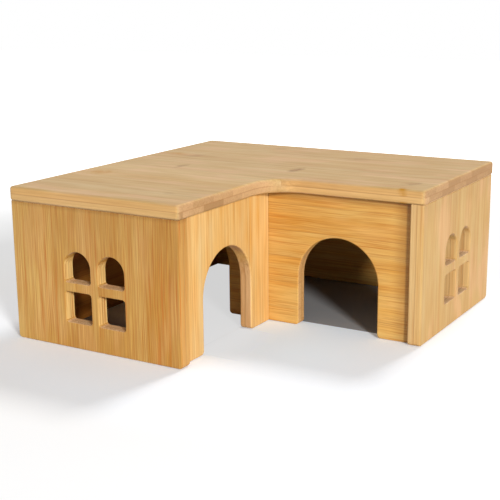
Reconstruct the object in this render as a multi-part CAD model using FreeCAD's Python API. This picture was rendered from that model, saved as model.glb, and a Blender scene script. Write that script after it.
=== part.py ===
import FreeCAD, Part
import os
from FreeCAD import Vector

# L-shaped wooden house for a hamster. Six upright boards are glued and dowelled into
# a floorless carcass with two outer doors and one inner doorway, and a roof board
# rests on them, held in place by four loose pins.
# Millimetres. Origin at the middle of the footprint on the floor, +Z up. The left leg
# of the L comes forward, towards -Y, and the right leg goes towards +X.

# Carcass
house_width = 280.0            # roof edge to roof edge, along X
house_depth = 280.0            # roof edge to roof edge, along Y
leg_width = 153.5              # roof width of each leg of the L
wall_height = 107.2
wall_thickness = 10.5
roof_overhang = 0.8            # roof edge beyond the end walls
wall_inset = 4.4               # long walls stand back from the edges of the end walls
wall_arris = 1.2               # rounding on every edge of a wall board
end_foot_radius = 3.0          # lower corners of the end walls

# Roof
roof_thickness = 10.8
roof_corner_radius = 3.0
notch_radius = 26.0            # inner corner of the L
roof_arris = 2.0

# Doors and inner doorway, all cut to one template
door_width = 67.5
door_height = 74.0
door_foot_radius = 3.0
left_door_shift = 1.4          # from the middle of its wall, towards the end wall

# Four-pane window, one in each end wall
pane_width = 24.3
lower_pane_height = 23.7
upper_pane_height = 23.7       # to the top of its round head
sill_height = 19.9
mullion_width = 6.4
transom_height = 6.9
pane_corner_radius = 2.5
pane_arris = 0.8

# Glue dowels in the wall joints
dowel_diameter = 5.0
dowel_length = 20.0
dowel_in_face = 7.0            # the rest goes into the end of the other board
dowel_end_gap = 0.5
dowel_edge_distance = 18.0     # top and bottom dowel to the ends of the joint
dowels_per_joint = 3
glue_gap = 0.05

# Pins that keep the roof from sliding, glued into its underside
pin_diameter = 6.0
pin_in_roof = 6.0
pin_drop = 9.0                 # length below the roof
pin_clearance = 0.1            # all round, in the wall
pin_end_gap = 1.0
pin_nose = 1.0                 # chamfer that leads the pin in

# Lines of the plan
end_wall_margin = roof_overhang
west = -house_width / 2 + end_wall_margin
east = house_width / 2 - end_wall_margin
south = -house_depth / 2 + end_wall_margin
north = house_depth / 2 - end_wall_margin
left_leg_edge = -house_width / 2 + leg_width - end_wall_margin
right_leg_edge = house_depth / 2 - leg_width + end_wall_margin

left_end_back = south + wall_thickness
right_end_back = east - wall_thickness
side_outer = west + wall_inset
side_inner = side_outer + wall_thickness
inner_side_outer = left_leg_edge - wall_inset
inner_side_inner = inner_side_outer - wall_thickness
front_outer = right_leg_edge + wall_inset
front_inner = front_outer + wall_thickness
rear_outer = north - wall_inset
rear_inner = rear_outer - wall_thickness

left_leg_middle = (west + left_leg_edge) / 2
right_leg_middle = (right_leg_edge + north) / 2
left_door_middle = (left_end_back + front_outer) / 2 - left_door_shift
right_door_middle = (inner_side_outer + right_end_back) / 2

up = Vector(0, 0, 1)
along_x = Vector(1, 0, 0)
along_y = Vector(0, 1, 0)


def arc(start, middle, end):
    return Part.Arc(start, middle, end).toShape()


def corner_arc(centre, radius, direction_in, direction_out):
    """Quarter turn from centre + direction_in to centre + direction_out."""
    middle = (direction_in + direction_out).normalize()
    return arc(centre + direction_in * radius, centre + middle * radius,
               centre + direction_out * radius)


def linked_wire(outline):
    """Closed wire through the given curves and sharp corners, with straight runs between them."""
    def is_corner(item):
        return isinstance(item, Vector)

    edges = []
    for item, following in zip(outline, outline[1:] + outline[:1]):
        if not is_corner(item):
            edges.append(item)
        run_start = item if is_corner(item) else item.Vertexes[-1].Point
        run_end = following if is_corner(following) else following.Vertexes[0].Point
        if not run_start.isEqual(run_end, 1e-7):
            edges.append(Part.makeLine(run_start, run_end))
    return Part.Wire(edges)


def doorway_curves(middle):
    """Feet and round head of a doorway in a board that stands along X."""
    half = door_width / 2
    spring = door_height - half
    left_foot = Vector(middle - half - door_foot_radius, 0, door_foot_radius)
    right_foot = Vector(middle + half + door_foot_radius, 0, door_foot_radius)
    head = Vector(middle, 0, spring)
    return [
        corner_arc(left_foot, door_foot_radius, -up, along_x),
        arc(head - along_x * half, head + up * half, head + along_x * half),
        corner_arc(right_foot, door_foot_radius, -along_x, -up),
    ]


def edges_on_board_faces(board):
    """Edges that lie in the front or the back face of a board that stands along X."""
    def on(edge, level):
        return all(abs(v.Y - level) < 1e-6 for v in edge.Vertexes)
    return [e for e in board.Edges if on(e, 0.0) or on(e, wall_thickness)]


def pane(middle, bottom, height, round_head):
    """Cutter for one window pane through a board that stands along X."""
    half = pane_width / 2
    turn = pane_corner_radius
    left = middle - half
    right = middle + half
    top = bottom + height
    lower_left = corner_arc(Vector(left + turn, 0, bottom + turn), turn, -along_x, -up)
    lower_right = corner_arc(Vector(right - turn, 0, bottom + turn), turn, -up, along_x)
    if round_head:
        centre = Vector(middle, 0, top - half)
        head = [arc(centre + along_x * half, centre + up * half, centre - along_x * half)]
    else:
        head = [corner_arc(Vector(right - turn, 0, top - turn), turn, along_x, up),
                corner_arc(Vector(left + turn, 0, top - turn), turn, up, -along_x)]
    outline = linked_wire([lower_left, lower_right] + head)
    return Part.Face(outline).extrude(along_y * wall_thickness)


def window_panes(middle):
    step = (pane_width + mullion_width) / 2
    upper_bottom = sill_height + lower_pane_height + transom_height
    panes = []
    for pane_middle in (middle - step, middle + step):
        panes.append(pane(pane_middle, sill_height, lower_pane_height, False))
        panes.append(pane(pane_middle, upper_bottom, upper_pane_height, True))
    return panes


def square_feet(length):
    """Lower right and lower left corner of a board that stands along X."""
    return Vector(length, 0, 0), Vector(0, 0, 0)


def rounded_feet(length):
    turn = end_foot_radius
    right_foot = corner_arc(Vector(length - turn, 0, turn), turn, -up, along_x)
    left_foot = corner_arc(Vector(turn, 0, turn), turn, -along_x, -up)
    return right_foot, left_foot


def standing_board(length, feet=square_feet, doorways=(), window=None):
    """Board along X from 0, front face on the XZ plane, with its openings."""
    right_foot, left_foot = feet(length)
    outline = []
    for middle in sorted(doorways):
        outline += doorway_curves(middle)
    outline += [right_foot, Vector(length, 0, wall_height), Vector(0, 0, wall_height), left_foot]
    board = Part.Face(linked_wire(outline)).extrude(along_y * wall_thickness)
    board = board.makeFillet(wall_arris, edges_on_board_faces(board))
    if window is not None:
        before = {e.hashCode() for e in board.Edges}
        board = board.cut(window_panes(window))
        rims = [e for e in edges_on_board_faces(board) if e.hashCode() not in before]
        board = board.makeFillet(pane_arris, rims)
    return board


def run_along_x(board, x, y):
    board.translate(Vector(x, y, 0))
    return board


def run_along_y(board, x, y):
    """Turns a board to run along +Y; x is its east face, y its south end."""
    board.rotate(Vector(0, 0, 0), up, 90)
    board.translate(Vector(x, y, 0))
    return board


# Wall joints: the board drilled in its face, the board drilled in its end, where the
# joint stands on the plan, and the way from the first board into the second.
side_middle = side_outer + wall_thickness / 2
inner_side_middle = inner_side_outer - wall_thickness / 2
front_middle = front_outer + wall_thickness / 2
rear_middle = rear_outer - wall_thickness / 2
wall_joints = {
    "dowels_left_end_to_left_side":
        ("left_end_wall", "left_side_wall", Vector(side_middle, left_end_back, 0), along_y),
    "dowels_left_end_to_inner_side":
        ("left_end_wall", "inner_side_wall", Vector(inner_side_middle, left_end_back, 0), along_y),
    "dowels_front_to_inner_side":
        ("front_partition_wall", "inner_side_wall", Vector(inner_side_middle, front_outer, 0), -along_y),
    "dowels_left_side_to_front":
        ("left_side_wall", "front_partition_wall", Vector(side_inner, front_middle, 0), along_x),
    "dowels_right_end_to_front":
        ("right_end_wall", "front_partition_wall", Vector(right_end_back, front_middle, 0), -along_x),
    "dowels_right_end_to_rear":
        ("right_end_wall", "rear_wall", Vector(right_end_back, rear_middle, 0), -along_x),
    "dowels_rear_to_left_side":
        ("rear_wall", "left_side_wall", Vector(side_middle, rear_inner, 0), -along_y),
}

# Roof pins: the wall that each one drops into, and where it stands on the plan
roof_pins = {
    "left_end_wall": Vector(left_leg_middle, south + wall_thickness / 2, wall_height),
    "left_side_wall": Vector(side_middle, right_leg_middle, wall_height),
    "rear_wall": Vector(left_leg_middle, rear_middle, wall_height),
    "right_end_wall": Vector(east - wall_thickness / 2, right_leg_middle, wall_height),
}


def joint_cylinders(place, way, radius, end_gap):
    """One cylinder for each dowel of a joint."""
    span = wall_height - 2 * dowel_edge_distance
    start = place - way * (dowel_in_face + end_gap)
    length = dowel_length + 2 * end_gap
    heights = [dowel_edge_distance + span * i / (dowels_per_joint - 1) for i in range(dowels_per_joint)]
    return [Part.makeCylinder(radius, length, start + up * height, way) for height in heights]


def joint_dowels(place, way):
    return Part.makeCompound(joint_cylinders(place, way, dowel_diameter / 2, 0.0))


def wall_holes(wall_name):
    """Every hole drilled into one wall, for dowels and for a roof pin."""
    holes = []
    for face_board, end_board, place, way in wall_joints.values():
        if wall_name in (face_board, end_board):
            holes += joint_cylinders(place, way, dowel_diameter / 2 + glue_gap, dowel_end_gap)
    if wall_name in roof_pins:
        depth = pin_drop + pin_end_gap
        mouth = roof_pins[wall_name]
        holes.append(Part.makeCylinder(pin_diameter / 2 + pin_clearance, depth, mouth, -up))
    return holes


def left_end_wall():
    board = standing_board(left_leg_edge - west, rounded_feet, window=left_leg_middle - west)
    return run_along_x(board, west, south)


def right_end_wall():
    board = standing_board(north - right_leg_edge, rounded_feet, window=right_leg_middle - right_leg_edge)
    return run_along_y(board, east, right_leg_edge)


def inner_side_wall():
    board = standing_board(front_outer - left_end_back, doorways=[left_door_middle - left_end_back])
    return run_along_y(board, inner_side_outer, left_end_back)


def front_partition_wall():
    """Front wall of the right leg, running on across the left leg as its partition."""
    doorways = [left_leg_middle - side_inner, right_door_middle - side_inner]
    board = standing_board(right_end_back - side_inner, doorways=doorways)
    return run_along_x(board, side_inner, front_outer)


def left_side_wall():
    board = standing_board(rear_inner - left_end_back)
    return run_along_y(board, side_inner, left_end_back)


def rear_wall():
    board = standing_board(right_end_back - side_outer)
    return run_along_x(board, side_outer, rear_inner)


def roof_board():
    left = -house_width / 2
    right = house_width / 2
    front = -house_depth / 2
    back = house_depth / 2
    notch_x = left + leg_width
    notch_y = back - leg_width
    turn = roof_corner_radius

    def centre(x, y):
        return Vector(x, y, wall_height)

    outline = linked_wire([
        corner_arc(centre(left + turn, front + turn), turn, -along_x, -along_y),
        corner_arc(centre(notch_x - turn, front + turn), turn, -along_y, along_x),
        corner_arc(centre(notch_x + notch_radius, notch_y - notch_radius), notch_radius,
                   -along_x, along_y),
        corner_arc(centre(right - turn, notch_y + turn), turn, -along_y, along_x),
        corner_arc(centre(right - turn, back - turn), turn, along_x, along_y),
        corner_arc(centre(left + turn, back - turn), turn, along_y, -along_x),
    ])
    roof = Part.Face(outline).extrude(up * roof_thickness)
    rims = [e for e in roof.Edges if len({round(v.Z, 6) for v in e.Vertexes}) == 1]
    roof = roof.makeFillet(roof_arris, rims)
    sockets = [Part.makeCylinder(pin_diameter / 2 + glue_gap, pin_in_roof, place, up)
               for place in roof_pins.values()]
    return roof.cut(sockets)


def roof_pin(place):
    length = pin_drop + pin_in_roof
    foot = place - up * pin_drop
    pin = Part.makeCylinder(pin_diameter / 2, length, foot, up)
    nose = [e for e in pin.Edges if e.Closed and abs(e.CenterOfMass.z - foot.z) < 1e-6]
    return pin.makeChamfer(pin_nose, nose)


def locating_pins():
    return Part.makeCompound([roof_pin(place) for place in roof_pins.values()])


def drilled(wall_name, wall):
    return wall.cut(wall_holes(wall_name))


walls = {
    "left_end_wall": left_end_wall(),
    "right_end_wall": right_end_wall(),
    "inner_side_wall": inner_side_wall(),
    "front_partition_wall": front_partition_wall(),
    "left_side_wall": left_side_wall(),
    "rear_wall": rear_wall(),
}
parts = {name: drilled(name, wall) for name, wall in walls.items()}
for name, (_, _, place, way) in wall_joints.items():
    parts[name] = joint_dowels(place, way)
parts["roof_board"] = roof_board()
parts["roof_locating_pins"] = locating_pins()

os.makedirs("parts", exist_ok=True)
for name, shape in parts.items():
    shape.exportStep(f"parts/{name}.step")
    box = shape.BoundBox
    print(f"{name}: {len(shape.Solids)} solid(s), {shape.Volume / 1000:.1f} cm3, valid {shape.isValid()}, "
          f"x {box.XMin:.1f} {box.XMax:.1f}, y {box.YMin:.1f} {box.YMax:.1f}, z {box.ZMin:.1f} {box.ZMax:.1f}")
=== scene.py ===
import math
import random

import bpy
from mathutils import Matrix, Vector


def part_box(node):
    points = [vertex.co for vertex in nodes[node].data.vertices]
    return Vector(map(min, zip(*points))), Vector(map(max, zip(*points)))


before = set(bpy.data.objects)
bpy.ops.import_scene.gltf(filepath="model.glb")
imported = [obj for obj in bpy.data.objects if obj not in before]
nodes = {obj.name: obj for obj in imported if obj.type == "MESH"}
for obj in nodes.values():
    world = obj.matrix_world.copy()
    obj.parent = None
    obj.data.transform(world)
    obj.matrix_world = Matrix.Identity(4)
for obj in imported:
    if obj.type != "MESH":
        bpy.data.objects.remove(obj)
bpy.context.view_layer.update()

scene = bpy.context.scene
perMetre = 1000      # lengths below are in mm, apart from the camera, the lamps and those marked m
print("frame loaded,", len(nodes), "nodes")


def colour(red, green, blue):
    # screen values 0-255 to the linear colour that a shader takes, by the sRGB curve
    def linear(value):
        value /= 255
        return value / 12.92 if value <= 0.04045 else ((value + 0.055) / 1.055) ** 2.4
    return (linear(red), linear(green), linear(blue), 1)


def grey(level):
    return (level, level, level, 1)


class Wire:
    # one output socket of a node, so that shader maths reads as plain expressions
    def __init__(self, tree, socket=None):
        self.tree = tree
        self.socket = socket

    def node(self, kind, settings=None, inputs=None, output=0):
        made = self.tree.nodes.new(kind)
        for name, value in (settings or {}).items():
            if name == "stops":
                self.fillRamp(made.color_ramp, value)
            else:
                setattr(made, name, value)
        for name, value in (inputs or {}).items():
            if isinstance(value, Wire):
                self.tree.links.new(value.socket, made.inputs[name])
            else:
                made.inputs[name].default_value = value
        return Wire(self.tree, made.outputs[output] if made.outputs else None)

    @staticmethod
    def fillRamp(ramp, stops):
        ramp.interpolation = "CONSTANT"
        while len(ramp.elements) < len(stops):
            ramp.elements.new(1)
        for element, (position, value) in zip(ramp.elements, stops):
            element.position = position
            element.color = value

    def out(self, name):
        return Wire(self.tree, self.socket.node.outputs[name])

    def math(self, operation, *others):
        return self.node("ShaderNodeMath", {"operation": operation}, dict(enumerate([self, *others])))

    def __add__(self, other):
        return self.math("ADD", other)

    def __sub__(self, other):
        return self.math("SUBTRACT", other)

    def __rsub__(self, other):
        return self.node("ShaderNodeMath", {"operation": "SUBTRACT"}, {0: other, 1: self})

    def __mul__(self, other):
        return self.math("MULTIPLY", other)

    def __truediv__(self, other):
        return self.math("DIVIDE", other)

    def __gt__(self, other):
        return self.math("GREATER_THAN", other)

    def __abs__(self):
        return self.math("ABSOLUTE")

    __radd__ = __add__
    __rmul__ = __mul__


def rise(value, low, high, start=0, end=1):
    # smooth step of a value between low and high
    settings = {"interpolation_type": "SMOOTHSTEP"}
    inputs = {"Value": value, "From Min": low, "From Max": high, "To Min": start, "To Max": end}
    return value.node("ShaderNodeMapRange", settings, inputs)


def fall(value, low, high):
    return rise(value, low, high, 1, 0)


def centred(noise):
    return noise - 0.5


def clamp(value):
    return value.math("MAXIMUM", 0).math("MINIMUM", 1)


def blendColour(factor, first, second, way="MIX"):
    settings = {"data_type": "RGBA", "blend_type": way}
    return factor.node("ShaderNodeMix", settings, {0: factor, 6: first, 7: second}, output=2)


def blendVector(factor, first, second):
    settings = {"data_type": "VECTOR"}
    return factor.node("ShaderNodeMix", settings, {0: factor, 4: first, 5: second}, output=1)


def noiseAt(x, y, z, detail):
    spot = x.node("ShaderNodeCombineXYZ", None, {0: x, 1: y, 2: z})
    inputs = {"Vector": spot, "Scale": 1, "Detail": detail, "Roughness": 0.5}
    return x.node("ShaderNodeTexNoise", None, inputs)


def fibreNoise(along, across, depth, length, width, detail=2):
    # noise drawn out along the fibres
    return noiseAt(along / length, across / width, depth / width, detail)


def newMaterial(name):
    material = bpy.data.materials.new(name)
    material.use_nodes = True
    material.node_tree.nodes.clear()
    return material, Wire(material.node_tree)


def objectSpot(start):
    # place in the shared frame in mm, and the way the surface faces
    place = start.node("ShaderNodeTexCoord", output="Object")
    mm = start.node("ShaderNodeVectorMath", {"operation": "SCALE"}, {0: place, "Scale": perMetre})
    return (start.node("ShaderNodeSeparateXYZ", None, {0: mm}),
            start.node("ShaderNodeSeparateXYZ", None, {0: place.out("Normal")}))


def boxInMm(name):
    return [[value * perMetre for value in corner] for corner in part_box(name)]


def dress(name, material):
    mesh = nodes[name].data
    mesh.materials.clear()
    mesh.materials.append(material)


def finishSurface(start, tint, roughness, height, wood):
    inputs = {"Height": height, "Strength": wood["bump"], "Distance": wood["bumpDistance"]}
    bump = start.node("ShaderNodeBump", None, inputs)
    inputs = {"Base Color": tint, "Roughness": roughness, "Normal": bump, "IOR": wood["ior"]}
    surface = start.node("ShaderNodeBsdfPrincipled", None, inputs)
    start.node("ShaderNodeOutputMaterial", None, {"Surface": surface})


# bamboo, as every board has it
bamboo = {
    # how squarely a face has to look along or across the strips to show their ends or sides,
    # or into the room to take a board's painted shade on its face to the room
    "facesEnd": (0.6, 0.92), "facesSide": (0.8, 0.97), "facesRoom": (0.6, 0.92),
    "endCover": 0.85, "sideCover": 0.8,      # how far the end and side colours cover the strips' own
    # sizes of the noises, along and across; a Rise says from where to where in its noise a
    # thing comes in
    "wanderWidth": 30,
    "lineDetail": 3,
    "bandLengths": 3, "bandWidth": 7,        # lengths of bands and hairs, in lineLengths of the board
    "hairLengths": 0.7, "hairWidth": 0.8,
    "cloudSize": (40, 12), "blushSize": (55, 20),
    "poreSize": (14, 0.45), "poreDetail": 1,
    "stripShift": (900, 60),                 # sets the fibres of one strip apart from the next
    "cloudWarmth": 1.2, "cloudGrain": 0.3,
    "blushRise": (0.48, 0.68),
    "sunny": (1.2, 1.3, 1.45),               # what the lightest fibres do to a colour
    "burnt": (0.8, 0.7, 0.55),               # and the darkest
    "fibre": colour(188, 110, 30),
    "streakRise": (0.64, 0.72), "streaks": 0.5,
    "lineRise": (0.56, 0.68), "lines": 0.8,
    "lineBands": (0.35, 0.6, 0.4, 1),        # fewer lines between the bands
    "hairRise": (0.54, 0.68), "hairLines": 0.4,
    "endLines": 0.4,                         # share of the lines that is left on a strip's end
    "pore": colour(150, 104, 66), "poreRise": (0.45, 0.75), "pores": 0.12, "endPores": 0.25,
    "ring": colour(134, 92, 40),             # knots of the cane
    "stain": colour(176, 122, 24),
    "markFade": (0.1, 1.1),
    "markBend": 1.6, "markBendSize": 5, "markBendDetail": 3,
    "sideMarks": 0.6,                        # on a board's side they show in the high ply alone
    "shadeTint": (0.45, 0.36, 0.26, 1),            # what painted shade does to a colour
    "glue": colour(150, 98, 50), "glueLine": 0.35,
    "plyGlue": 0.45, "plyGlueFade": (0.1, 0.63),
    "roughness": 0.55, "lineRoughness": 0.12, "endRoughness": 0.15, "ior": 1.5,
    "poreHeight": 0.5, "lineHeight": 0.5, "glueHeight": 0.8,
    "bump": 0.12, "bumpDistance": 0.0003,    # m
}


def stripLook(rng, spread):
    # tone, warmth and shift of one strip, each 0-1
    return [0.5 + spread * rng.uniform(-1, 1), 0.5 + spread * rng.uniform(-1, 1), rng.random()]


def lookUp(position, strips):
    stops = [(i / len(strips), (*look, 1)) for i, look in enumerate(strips)]
    return position.node("ShaderNodeValToRGB", {"stops": stops}, {0: position})


def layStrips(name, board, across, depth):
    # two plies of strips: which ply, how far from the joint between plies, how far from the
    # middle of the strip, and the strip's look
    width = board["stripWidth"]
    low, high = boxInMm(name)
    acrossAt, depthAt = ("XYZ".index(letter) for letter in board["axes"][1:])
    firstJoint = low[acrossAt] - board["cutAway"]
    plyLine = (low[depthAt] + high[depthAt]) / 2
    ply = depth > plyLine
    run = (across - firstJoint + ply * board["plyStagger"]) / width
    index = run.math("FLOOR")
    inStrip = run - index
    count = math.ceil((high[acrossAt] - firstJoint + board["plyStagger"]) / width)
    rng = random.Random(board["seed"])
    looks = []
    for side in ("lowPly", "highPly"):
        strips = [stripLook(rng, board["spread"]) for _ in range(count)]
        for number, look in board.get(side, {}).items():
            strips[number][:2] = look
        looks.append(strips)
    position = (index + 0.5) / count
    chosen = blendColour(ply, lookUp(position, looks[0]), lookUp(position, looks[1]))
    chosen = chosen.node("ShaderNodeSeparateColor", None, {0: chosen})
    return ply, abs(depth - plyLine), abs(inStrip - 0.5), chosen


def knots(along, across, bend, marks):
    # soft blots across a strip
    total = 0
    for markAlong, markAcross, halfAlong, halfAcross, strength in marks:
        offAlong = (along - markAlong) / halfAlong + bend
        offAcross = (across - markAcross) / halfAcross + bend
        reach = (offAlong * offAlong + offAcross * offAcross).math("SQRT")
        total = rise(reach, *bamboo["markFade"], strength, 0) + total
    return total


def bambooBoard(name, board):
    material, start = newMaterial(name + "_bamboo")
    spot, way = objectSpot(start)
    along, across, depth = (spot.out(letter) for letter in board["axes"])
    facingAlong, facingAcross, facingDepth = (abs(way.out(letter)) for letter in board["axes"])
    onEnd = rise(facingAlong, *bamboo["facesEnd"])
    onSide = rise(facingAcross, *bamboo["facesSide"])
    ply, fromPlyLine, fromMiddle, look = layStrips(name, board, across, depth)
    tone, warmth, shift = look.out("Red"), look.out("Green"), look.out("Blue")

    # fibres
    length = board["lineLength"]
    wander = centred(fibreNoise(along, across, depth, length, bamboo["wanderWidth"])) * board["wander"]
    shiftAlong, shiftAcross = bamboo["stripShift"]
    sideways = across + wander + shift * shiftAcross
    onward = along + shift * shiftAlong
    lineNoise = fibreNoise(onward, sideways, depth, length, board["lineWidth"], bamboo["lineDetail"])
    bandNoise = fibreNoise(onward, sideways, depth, length * bamboo["bandLengths"], bamboo["bandWidth"])
    hairNoise = fibreNoise(onward, sideways, depth, length * bamboo["hairLengths"], bamboo["hairWidth"])
    cloud = fibreNoise(onward, sideways, depth, *bamboo["cloudSize"])
    blush = fibreNoise(along, across, depth, *bamboo["blushSize"])
    pores = fibreNoise(onward, sideways, depth, *bamboo["poreSize"], bamboo["poreDetail"])

    # colour of the strip
    warm = centred(warmth) * board["warmthRange"] + centred(bandNoise) * board["bands"]
    warm = clamp(warm + centred(cloud) * bamboo["cloudWarmth"] + 0.5)
    tint = blendColour(warm, board["pale"], board["warm"])
    tint = blendColour(rise(blush, *bamboo["blushRise"]) * board["blush"], tint, board["rosy"])
    sideTint = blendColour(ply, board["lowSide"], board["highSide"])
    tint = blendColour(onSide * bamboo["sideCover"], tint, sideTint)
    tint = blendColour(onEnd * bamboo["endCover"], tint, board["end"])

    # light and dark fibres
    grain = centred(hairNoise) * board["hairs"] + centred(lineNoise) * board["grit"]
    grain = grain + centred(cloud) * bamboo["cloudGrain"]
    toneRange = onEnd * board["endRange"] + onSide * board["sideRange"] + board["toneRange"]
    grain = clamp(grain - centred(tone) * toneRange + 0.5)
    sunny = board.get("sunny", bamboo["sunny"])
    burnt = board.get("burnt", bamboo["burnt"])
    grain = blendVector(grain, sunny, burnt)
    tint = start.node("ShaderNodeVectorMath", {"operation": "MULTIPLY"}, {0: tint, 1: grain})

    # lines and pores
    streaks = rise(bandNoise, *bamboo["streakRise"]) * bamboo["streaks"]
    hairs = rise(hairNoise, *bamboo["hairRise"]) * bamboo["hairLines"]
    lines = rise(lineNoise, *bamboo["lineRise"]) * rise(bandNoise, *bamboo["lineBands"])
    lines = (lines * bamboo["lines"]).math("MAXIMUM", streaks) + hairs
    lines = lines * board["lines"] * (1 - onEnd * (1 - bamboo["endLines"]))
    tint = blendColour(lines, tint, board.get("fibre", bamboo["fibre"]))
    poreCover = onEnd * bamboo["endPores"] + bamboo["pores"]
    tint = blendColour(rise(pores, *bamboo["poreRise"]) * poreCover, tint, bamboo["pore"])

    # knots and stains, then painted shade: darker under the roof, beside an end wall and towards the
    # top, and a darker face to the room
    size = bamboo["markBendSize"]
    bend = fibreNoise(along, across, depth, size, size, bamboo["markBendDetail"])
    bend = centred(bend) * bamboo["markBend"]
    for kind, places in board["marks"].items():
        markFree = onSide * (1 - ply * bamboo["sideMarks"])
        marks = knots(along, across, bend, places) * (1 - onEnd) * (1 - markFree)
        tint = blendColour(marks.math("MINIMUM", 1), tint, bamboo[kind])
    # painted shade: the colour deepens under the roof, beside an end wall and towards the top
    for letter, first, last, strength in board.get("paintedShade", []):
        cover = rise(spot.out(letter), first, last, 0, strength)
        tint = blendColour(cover, tint, bamboo["shadeTint"], "MULTIPLY")
    # painted shade: the face to the room is darker
    if "roomShadeTint" in board:
        roomShadeCover = rise(facingDepth, *bamboo["facesRoom"]) * ply
        tint = blendColour(roomShadeCover, tint, board["roomShadeTint"], "MULTIPLY")

    # glue lines
    glue = rise(fromMiddle, 0.5 - bamboo["glueLine"] / board["stripWidth"], 0.5) * board["glue"]
    plyStrength = board.get("plyGlue", bamboo["plyGlue"])
    plyGlue = rise(fromPlyLine, *bamboo["plyGlueFade"], plyStrength, 0)
    glue = glue.math("MAXIMUM", plyGlue * (onEnd + onSide))
    tint = blendColour(glue, tint, bamboo["glue"])

    roughness = bamboo["roughness"] + centred(lineNoise) * bamboo["lineRoughness"]
    roughness = roughness + onEnd * bamboo["endRoughness"]
    height = pores * bamboo["poreHeight"] + lineNoise * bamboo["lineHeight"]
    height = height - glue * bamboo["glueHeight"]
    finishSurface(start, tint, roughness, height, bamboo)
    return material
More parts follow.
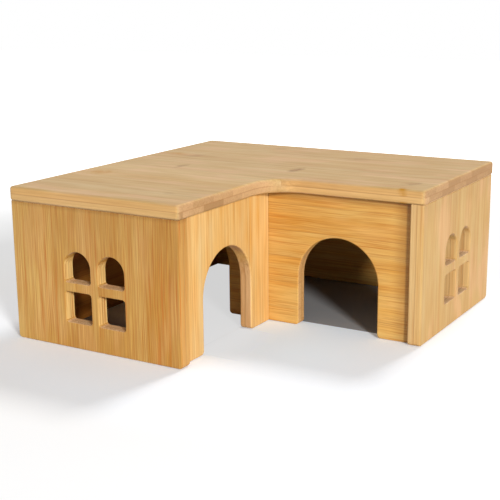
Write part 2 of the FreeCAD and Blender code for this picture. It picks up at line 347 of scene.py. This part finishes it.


# axes: the letters of along the strips, across them and through the board
# cutAway: what the saw took off the first strip
# lowPly, highPly: tone and warmth of single strips, counted from the low side of the board
# marks: along, across, half length, half width and strength of each
# paintedShade: painted shade along one letter, from where to where the colour deepens, and how far
boards = {
    "roof_board": {
        "axes": "XYZ", "cutAway": 21, "seed": 3,
        "stripWidth": 26, "plyStagger": 13,
        "pale": colour(192, 163, 115), "warm": colour(184, 145, 87),
        "rosy": colour(206, 162, 122), "blush": 0.45,
        "lowSide": colour(208, 165, 104), "highSide": colour(202, 156, 94),
        "end": colour(181, 141, 98),
        "sunny": (1.22, 1.26, 1.32), "burnt": (0.78, 0.74, 0.66),
        "fibre": colour(160, 112, 52),
        "spread": 0.5, "warmthRange": 0.5, "bands": 1.8,
        "toneRange": 0.3, "endRange": 1.2, "sideRange": 0,
        "lines": 0.2, "lineLength": 80, "lineWidth": 2, "wander": 5,
        "grit": 0.7, "hairs": 0.7,
        "glue": 0.15, "plyGlue": 0.38,
        "lowPly": {2: (0.0, 0.9), 3: (0.55, 0.5), 4: (0.8, 0.4), 5: (0.75, 0.4), 6: (0.35, 0.5),
                   7: (0, 0.9), 8: (0.35, 0.5), 9: (0.1, 0.8), 10: (0.3, 0.5), 11: (0.2, 0.6)},
        "highPly": {1: (0.55, 1), 5: (0.9, 0.3), 6: (0.35, 0.5), 7: (0.45, 0.4), 8: (0.1, 0.8),
                    9: (0.35, 0.5), 10: (0.15, 0.7), 11: (0.2, 0.6)},
        "marks": {
            "ring": [(15, 24, 6, 14, 0.8), (-78, -2, 5, 13, 0.5), (36, 99, 14, 10, 0.3),
                     (-98, 50, 9, 11, 0.3), (121, 8, 7, 9, 0.45), (-17, -106, 8, 5, 0.3),
                     (-52, 122, 8, 8, 0.25)],
            "stain": [(-119, -57, 14, 12, 0.7), (-120, 54, 14, 8, 0.6), (123, -12, 4.5, 6, 1.0)],
        },
    },
    "left_end_wall": {
        "axes": "ZXY", "cutAway": 3.8, "seed": 5,
        "stripWidth": 21, "plyStagger": 9,
        "pale": colour(195, 151, 79), "warm": colour(187, 133, 51),
        "rosy": colour(206, 152, 90), "blush": 0.35,
        "lowSide": colour(231, 190, 118), "highSide": colour(231, 192, 122),
        "end": colour(224, 186, 142),
        "sunny": (1.24, 1.36, 1.52), "burnt": (0.76, 0.64, 0.48),
        "spread": 0.4, "warmthRange": 0.6, "bands": 1.9,
        "toneRange": 0.3, "endRange": 0.2, "sideRange": 1.2,
        "lines": 1.0, "lineLength": 70, "lineWidth": 1.0, "wander": 3,
        "grit": 0.8, "hairs": 1.9,
        "glue": 0.25,
        "lowPly": {0: (1.05, 0.1), 1: (1.05, 0.1), 2: (0.65, 0.4), 3: (0.5, 0.5), 4: (0.35, 0.7),
                   5: (0.6, 0.3), 6: (0.25, 0.9), 7: (0, 1)},
        "highPly": {2: (0.5, 0.5), 3: (0.5, 0.5), 4: (0.5, 0.6), 7: (0, 1)},
        "marks": {},
        # painted shade: darker just under the roof, and darker towards the roof over most of the wall
        "paintedShade": [("Z", 103.5, 106.5, 0.3), ("Z", 30, 110, 0.28)],
    },
    "right_end_wall": {
        "axes": "ZYX", "cutAway": 3.8, "seed": 7,
        "stripWidth": 21, "plyStagger": 9,
        "pale": colour(192, 157, 98), "warm": colour(185, 141, 72),
        "rosy": colour(208, 160, 110), "blush": 0.6,
        "lowSide": colour(212, 176, 120), "highSide": colour(214, 176, 116),
        "end": colour(225, 190, 150),
        "spread": 0.4, "warmthRange": 0.5, "bands": 2.2,
        "toneRange": 0.2, "endRange": 0.1, "sideRange": 0,
        "lines": 0.3, "lineLength": 100, "lineWidth": 2, "wander": 2.5,
        "grit": 0.5, "hairs": 0.8,
        "glue": 0.15,
        "marks": {},
        # painted shade: darker towards the roof
        "paintedShade": [("Z", 85, 106, 0.12)],
    },
    "inner_side_wall": {
        "axes": "ZYX", "cutAway": 5.8, "seed": 11,
        "stripWidth": 21, "plyStagger": 9,
        "pale": colour(214, 180, 122), "warm": colour(218, 163, 82),
        "rosy": colour(224, 174, 106), "blush": 0.35,
        "lowSide": colour(214, 164, 112), "highSide": colour(214, 164, 112),
        "end": colour(205, 156, 112),
        "spread": 0.4, "warmthRange": 0.5, "bands": 1.5,
        "toneRange": 0.3, "endRange": 0.1, "sideRange": 0,
        "lines": 0.45, "lineLength": 90, "lineWidth": 1.3, "wander": 2,
        "grit": 0.6, "hairs": 1.3,
        "glue": 0.25,
        "highPly": {1: (0.5, 0.2), 2: (0.45, 0.25), 3: (0.25, 0.6), 4: (0.3, 0.5), 5: (0.9, 0.6),
                    6: (1, 0.8)},
        "marks": {},
    },
    "front_partition_wall": {
        "axes": "XZY", "cutAway": 8, "seed": 13,
        "stripWidth": 21, "plyStagger": 9,
        "pale": colour(208, 165, 92), "warm": colour(206, 147, 60),
        "rosy": colour(222, 164, 92), "blush": 0.3,
        "lowSide": colour(226, 172, 104), "highSide": colour(226, 172, 104),
        "end": colour(200, 152, 96),
        "spread": 0.4, "warmthRange": 0.5, "bands": 1.5,
        "toneRange": 0.35, "endRange": 0.1, "sideRange": 0,
        "lines": 0.65, "lineLength": 45, "lineWidth": 0.8, "wander": 2.5,
        "grit": 1.0, "hairs": 1.0,
        "glue": 0.5,
        # painted light: the two lowest strips, next to the white floor, are set lighter
        "lowPly": {0: (1.3, 0.3), 1: (1.3, 0.3), 2: (0.7, 0.75), 3: (0.5, 0.25), 4: (0.3, 0.5),
                   5: (0.4, 0.3)},
        "marks": {},
        # painted shade: darker under the roof, and a painted shadow beside the right end wall
        "paintedShade": [("Z", 99.5, 106, 0.7), ("X", 112, 126, 0.6)],
    },
    "left_side_wall": {
        "axes": "YZX", "cutAway": 5, "seed": 17,
        "stripWidth": 21, "plyStagger": 9,
        "pale": colour(202, 158, 86), "warm": colour(192, 138, 58),
        # painted shade: the face to the room is darker
        "roomShadeTint": (0.62, 0.4, 0.2, 1),
        "rosy": colour(214, 158, 100), "blush": 0.35,
        "lowSide": colour(208, 160, 100), "highSide": colour(208, 160, 100),
        "end": colour(205, 156, 112),
        "spread": 0.4, "warmthRange": 0.6, "bands": 2.6,
        "toneRange": 0.3, "endRange": 0.1, "sideRange": 0,
        "lines": 0.65, "lineLength": 90, "lineWidth": 1.8, "wander": 3,
        "grit": 0.8, "hairs": 1.6,
        "glue": 0.2,
        "marks": {"ring": [(-60, 26, 4, 11, 0.6), (72, 47, 3.5, 11, 0.6), (10, 89, 5, 10, 0.5)]},
    },
    "rear_wall": {
        "axes": "XZY", "cutAway": 5, "seed": 19,
        "stripWidth": 21, "plyStagger": 9,
        "pale": colour(202, 158, 86), "warm": colour(192, 138, 58),
        "rosy": colour(214, 158, 100), "blush": 0.35,
        "lowSide": colour(208, 160, 100), "highSide": colour(208, 160, 100),
        "end": colour(205, 156, 112),
        "spread": 0.4, "warmthRange": 0.6, "bands": 2.6,
        "toneRange": 0.3, "endRange": 0.1, "sideRange": 0,
        "lines": 0.65, "lineLength": 90, "lineWidth": 1.8, "wander": 3,
        "grit": 0.8, "hairs": 1.6,
        "glue": 0.2,
        "marks": {"ring": [(-90, 16, 4, 11, 0.6), (30, 79, 3.5, 11, 0.6), (96, 37, 5, 10, 0.5)]},
    },
}

for name, board in boards.items():
    dress(name, bambooBoard(name, board))
print("boards dressed:", len(boards))

# turned beech, for what joins the boards
beech = {
    "pale": colour(214, 174, 132), "dark": colour(196, 148, 104),
    "ringSize": (60, 0.9, 2.4), "ringDetail": 3, "ringRise": (0.35, 0.65),
    "fleckSize": (1.6, 0.25), "fleckDetail": 0, "fleckRise": (0.62, 0.72),
    "fleck": colour(150, 98, 60), "flecks": 0.6,
    "end": colour(186, 142, 100), "facesEnd": (0.6, 0.9), "endCover": 0.5,
    "roughness": 0.5, "ringRoughness": 0.2, "endRoughness": 0.2, "ior": 1.5,
    "bump": 0.1, "bumpDistance": 0.0002,     # m
}


def beechRod(name, axes):
    material, start = newMaterial(name + "_beech")
    spot, way = objectSpot(start)
    along, across, depth = (spot.out(letter) for letter in axes)
    onEnd = rise(abs(way.out(axes[0])), *beech["facesEnd"])
    ringLength, ringWidth, ringDepth = beech["ringSize"]
    rings = noiseAt(along / ringLength, across / ringWidth, depth / ringDepth, beech["ringDetail"])
    flecks = fibreNoise(along, across, depth, *beech["fleckSize"], beech["fleckDetail"])
    tint = blendColour(rise(rings, *beech["ringRise"]), beech["pale"], beech["dark"])
    tint = blendColour(rise(flecks, *beech["fleckRise"]) * beech["flecks"], tint, beech["fleck"])
    tint = blendColour(onEnd * beech["endCover"], tint, beech["end"])
    roughness = beech["roughness"] + centred(rings) * beech["ringRoughness"]
    roughness = roughness + onEnd * beech["endRoughness"]
    finishSurface(start, tint, roughness, flecks, beech)
    return material


# the letters along, across and through each rod
rods = {
    "roof_locating_pins": "ZXY",
    "dowels_left_end_to_left_side": "YXZ",
    "dowels_left_end_to_inner_side": "YXZ",
    "dowels_front_to_inner_side": "YXZ",
    "dowels_left_side_to_front": "XYZ",
    "dowels_right_end_to_front": "XYZ",
    "dowels_right_end_to_rear": "XYZ",
    "dowels_rear_to_left_side": "YXZ",
}
for name, axes in rods.items():
    dress(name, beechRod(name, axes))
print("rods dressed:", len(rods))

camera = {
    "location": (0.4149, -0.7200, 0.2593),
    "right": (0.86012, 0.51002, -0.00866),
    "up": (-0.11430, 0.20925, 0.97116),
    "lens": 76.64,
    "sensor": 36,
}


def makeCamera():
    data = bpy.data.cameras.new("studioCamera")
    data.lens = camera["lens"]
    data.sensor_width = camera["sensor"]
    item = bpy.data.objects.new("studioCamera", data)
    scene.collection.objects.link(item)
    right = Vector(camera["right"]).normalized()
    back = right.cross(Vector(camera["up"])).normalized()
    up = back.cross(right)
    turn = Matrix((right, up, back)).transposed()
    item.matrix_world = Matrix.Translation(camera["location"]) @ turn.to_4x4()
    scene.camera = item


makeCamera()

lampAim = (0, 0, 0.05)
lamps = {
    "frontSoftbox": {"azimuth": -40, "elevation": 20, "distance": 3.2, "size": 0.5, "power": 93},
    "backSoftbox": {"azimuth": 84, "elevation": 52, "distance": 3.2, "size": 0.75, "power": 52},
}


def areaLamp(name, lamp):
    data = bpy.data.lights.new(name, "AREA")
    data.shape = "DISK"
    data.size = lamp["size"]
    data.energy = lamp["power"]
    item = bpy.data.objects.new(name, data)
    scene.collection.objects.link(item)
    azimuth = math.radians(lamp["azimuth"])
    elevation = math.radians(lamp["elevation"])
    flat = math.cos(elevation)
    way = Vector((math.cos(azimuth) * flat, math.sin(azimuth) * flat, math.sin(elevation)))
    item.location = Vector(lampAim) + way * lamp["distance"]
    item.rotation_euler = way.to_track_quat("Z", "Y").to_euler()
    item.visible_glossy = False      # the roof mirrors the white room alone


for name, lamp in lamps.items():
    areaLamp(name, lamp)

# floor: white paper that fades into a white room. Under the roof its colour is darkened as painted
# shade, apart from a band of painted light behind the door of the left leg; in the front room it gets
# painted light away from the end wall and a painted dark corner. A shade is the paper's colour,
# darkened there as painted shade, a glow is added to it where it is seen, and a bounce is its colour
# for the light that it throws on the wood
paper = {
    "half": 3,                        # m
    "sink": 0.0002,                   # m
    "farShade": (0.80, 0.80, 0.80, 1),
    "nearShade": (0.80, 0.83, 0.87, 1),      # takes back the warmth that the wood throws on it
    "near": (200, 260),
    "seenGlow": 0.14,
    "fade": (450, 900),
    "bounce": 0.9,
    "notchShade": (0.77, 0.88, 0.98, 1),
    "notchX": ((0, 10), (60, 140)),          # where its shade comes in and goes out
    "notchY": ((-140, -60), (0, 10)),
    "zoneEdge": 1,
    "insideShade": 0.32,
    "insideBounce": (0.05, 0.03, 0.012, 1),
    "underWalls": 5,
    "frontRoomShade": (0.88, 0.9, 0.78, 1),
    "frontRoomDim": (-88, -50),       # y where it gets lighter, away from the end wall
    "cornerShade": (0.14, 0.1, 0.07, 1),
    "cornerDim": (-190, -172),        # x + y across the left corner of that room
    "bandShade": 0.15,
    "bandGlow": 0.64,
    "bandBounce": (0.6, 0.42, 0.24, 1),
    "bandLeft": ((-4, -104), (-137, 120)),
    "bandRight": ((-3, -34), (-111, 123)),
    "bandBlur": (15, 40),             # of its left and right edges
    "threshold": (-104, -36),         # of the left door, from side to side
    "thresholdFade": 40,
}


def within(value, low, high):
    # 1 between low and high, with soft edges inside them
    edge = paper["zoneEdge"]
    return rise(value, low, low + edge) * fall(value, high - edge, high)


def sideOf(x, y, line, sign):
    # signed distance from a line in the plan
    (x0, y0), (x1, y1) = line
    length = math.hypot(x1 - x0, y1 - y0)
    return ((x - x0) * ((y1 - y0) / length) - (y - y0) * ((x1 - x0) / length)) * sign


def paperZones(x, y):
    # where the paper is under the roof, in the front room and in the band of light
    walls = {name: boxInMm(name) for name in boards}
    front = walls["front_partition_wall"]
    inner = walls["inner_side_wall"]
    west = walls["left_side_wall"][1][0] - paper["underWalls"]
    north = walls["rear_wall"][0][1] + paper["underWalls"]
    leftSouth = walls["left_end_wall"][1][1] - paper["underWalls"]
    rightEast = walls["right_end_wall"][0][0] + paper["underWalls"]
    leftLeg = within(x, west, inner[0][0]) * within(y, leftSouth, north)
    rightLeg = within(x, west, rightEast) * within(y, front[1][1], north)
    inside = leftLeg.math("MAXIMUM", rightLeg)
    frontRoom = leftLeg * fall(y, front[0][1], front[1][1])
    doorWest, doorEast = inner[0][0], inner[1][0]
    threshold = (rise(x, doorWest - paper["zoneEdge"], doorWest)
                 * fall(x, doorEast, doorEast + paper["thresholdFade"])
                 * within(y, *paper["threshold"]))
    blurLeft, blurRight = paper["bandBlur"]
    band = (rise(sideOf(x, y, paper["bandLeft"], 1), -blurLeft, 0)
            * rise(sideOf(x, y, paper["bandRight"], -1), -blurRight, 0)
            * inside.math("MAXIMUM", threshold))
    return inside, frontRoom, band


def makeFloor():
    mesh = bpy.data.meshes.new("floor")
    half = paper["half"]
    corners = [(-half, -half, 0), (half, -half, 0), (half, half, 0), (-half, half, 0)]
    mesh.from_pydata(corners, [], [(0, 1, 2, 3)])
    floor = bpy.data.objects.new("floor", mesh)
    floor.location.z = -paper["sink"]
    scene.collection.objects.link(floor)
    material, start = newMaterial("floorPaper")
    spot, _ = objectSpot(start)
    x, y = spot, spot.out("Y")
    inside, frontRoom, band = paperZones(x, y)

    distance = (x * x + y * y).math("SQRT")
    faraway = rise(distance, *paper["fade"], paper["seenGlow"], 1)
    glow = faraway * (1 - inside) * (1 - band) + band * paper["bandGlow"]
    glow = start.node("ShaderNodeCombineColor", None, {0: glow, 1: glow, 2: glow})

    west, east = paper["notchX"]
    south, north = paper["notchY"]
    notch = rise(x, *west) * fall(x, *east) * rise(y, *south) * fall(y, *north)
    # painted light in the front room away from the end wall, and painted shade in its left corner
    lightRoom = frontRoom * rise(y, *paper["frontRoomDim"])
    darkCorner = frontRoom * fall(x + y, *paper["cornerDim"])
    shade = blendColour(rise(distance, *paper["near"]), paper["nearShade"], paper["farShade"])
    shade = blendColour(notch, shade, paper["notchShade"])
    shade = blendColour(inside, shade, grey(paper["insideShade"]))
    shade = blendColour(lightRoom, shade, paper["frontRoomShade"])
    shade = blendColour(darkCorner, shade, paper["cornerShade"])
    shade = blendColour(band, shade, grey(paper["bandShade"]))
    bounce = blendColour(band * inside, grey(paper["bounce"]), paper["bandBounce"])
    bounce = blendColour(inside * (1 - band), bounce, paper["insideBounce"])

    isSeen = start.node("ShaderNodeLightPath", output="Is Camera Ray")
    glowing = start.node("ShaderNodeEmission", None, {"Color": glow, "Strength": 1})
    shaded = start.node("ShaderNodeBsdfDiffuse", None, {"Color": shade})
    seen = start.node("ShaderNodeAddShader", None, {0: glowing, 1: shaded})
    unseen = start.node("ShaderNodeBsdfDiffuse", None, {"Color": bounce})
    surface = start.node("ShaderNodeMixShader", None, {0: isSeen, 1: unseen, 2: seen})
    start.node("ShaderNodeOutputMaterial", None, {"Surface": surface})
    mesh.materials.append(material)


room = {"ambient": 0.35, "shown": 1}      # light on the object, and white where the room is seen


def makeWorld():
    world = bpy.data.worlds.new("studioWorld")
    scene.world = world
    world.use_nodes = True
    tree = world.node_tree
    tree.nodes.clear()
    start = Wire(tree)
    path = start.node("ShaderNodeLightPath", output="Is Camera Ray")
    mirror = path.out("Is Glossy Ray").math("MAXIMUM", path.out("Is Transmission Ray"))
    shows = path.math("MAXIMUM", mirror)
    ambient = start.node("ShaderNodeBackground", None, {"Color": grey(1), "Strength": room["ambient"]})
    white = start.node("ShaderNodeBackground", None, {"Color": grey(1), "Strength": room["shown"]})
    surface = start.node("ShaderNodeMixShader", None, {0: shows, 1: ambient, 2: white})
    start.node("ShaderNodeOutputWorld", None, {"Surface": surface})


makeFloor()
makeWorld()
scene.view_settings.view_transform = "Standard"
print("studio ready")
